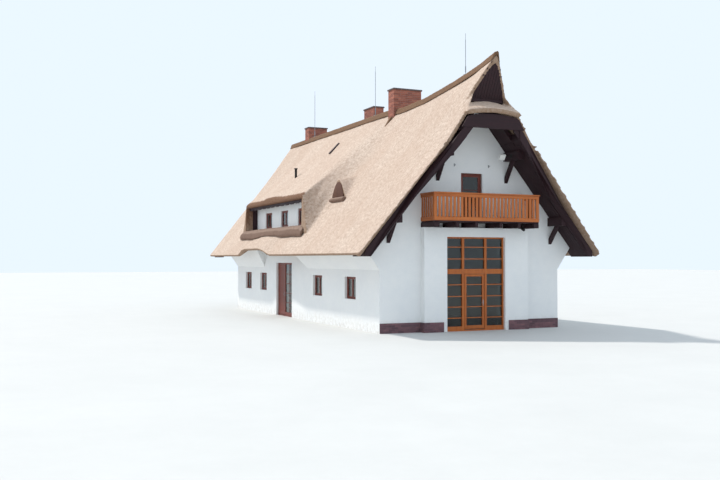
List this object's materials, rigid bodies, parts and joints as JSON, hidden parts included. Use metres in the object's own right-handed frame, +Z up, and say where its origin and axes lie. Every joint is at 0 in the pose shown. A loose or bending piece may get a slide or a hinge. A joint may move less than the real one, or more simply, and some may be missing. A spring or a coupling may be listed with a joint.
{
  "type": "thatched cottage",
  "caption": "White rendered thatched cottage with a half-hipped timber gable, glazed bay under a slatted balcony, wide thatched dormer and brick chimneys.",
  "frame": {"origin": "ground level under the middle of the bounding box", "axes": "+Z up, +Y from the front gable to the back gable, +X to the right seen from the front"},
  "size_m": [10.62, 22.75, 12.35],
  "materials": {
    "render": "fine white mineral render",
    "thatch": "weathered reed thatch, butt ends outward",
    "ridge_thatch": "darker dense ridge thatch",
    "dark_timber": "dark stained softwood",
    "larch": "orange brown oiled timber",
    "redwood": "red brown stained timber",
    "glazing": "clear window glass",
    "brick": "red brown facing brick with mortar joints",
    "plinth_brick": "dark clinker brick with mortar joints",
    "floor": "smooth screed",
    "metal": "dull galvanised metal"
  },
  "bodies": {
    "house": {"front_wall_left": "render", "front_wall_right": "render", "front_gable": "render", "left_wall_front": "render", "left_wall_back": "render", "left_wall_lintel": "render", "right_wall": "render", "back_wall": "render", "flare_left_front": "render", "flare_left_back": "render", "flare_right": "render", "ground_floor": "floor", "upper_floor": "floor", "plinth_left": "plinth_brick", "plinth_right": "plinth_brick", "chimney_main": "brick", "chimney_middle": "brick", "chimney_back": "brick", "thatch_left": "thatch", "thatch_right": "thatch", "front_hip": "thatch", "ridge_front": "ridge_thatch", "ridge_back": "ridge_thatch", "rod_front": "metal", "rod_middle": "metal", "rod_back": "metal", "vent_pipe": "metal", "verge_front_left": "dark_timber", "verge_front_right": "dark_timber", "verge_back": "dark_timber", "collar_board": "dark_timber", "owl_hole_panel": "dark_timber", "balcony_deck": "dark_timber", "balcony_rail_front": "larch", "balcony_rail_left": "larch", "balcony_rail_right": "larch", "terrace_window": "larch", "terrace_glass": "glazing", "entrance_frame": "redwood", "window_left_1": "redwood", "window_left_2": "redwood", "window_left_3": "redwood", "window_left_4": "redwood", "window_right_1": "redwood", "window_right_2": "redwood", "window_right_3": "redwood", "balcony_door": "redwood", "window_back_lower": "redwood", "window_back_upper": "redwood", "dormer_timber": "dark_timber", "dormer_wall": "render", "window_dormer_1": "redwood", "window_dormer_2": "redwood", "window_dormer_3": "redwood", "dormer_sill": "ridge_thatch", "small_dormer": "thatch"},
    "terrace_door": {"terrace_door": "larch", "terrace_door_glass": "glazing"},
    "entrance_door": {"entrance_door": "redwood"}
  },
  "joints": [
    {"name": "terrace_door_hinge", "type": "hinge", "parent": "house", "child": "terrace_door", "pos_m": [-0.448, -9.675, 1.1], "axis": [0, 0, 1], "range_deg": [0, 90]},
    {"name": "entrance_door_hinge", "type": "hinge", "parent": "house", "child": "entrance_door", "pos_m": [-3.865, 2.383, 1.3], "axis": [0, 0, 1], "range_deg": [0, 90]}
  ]
}
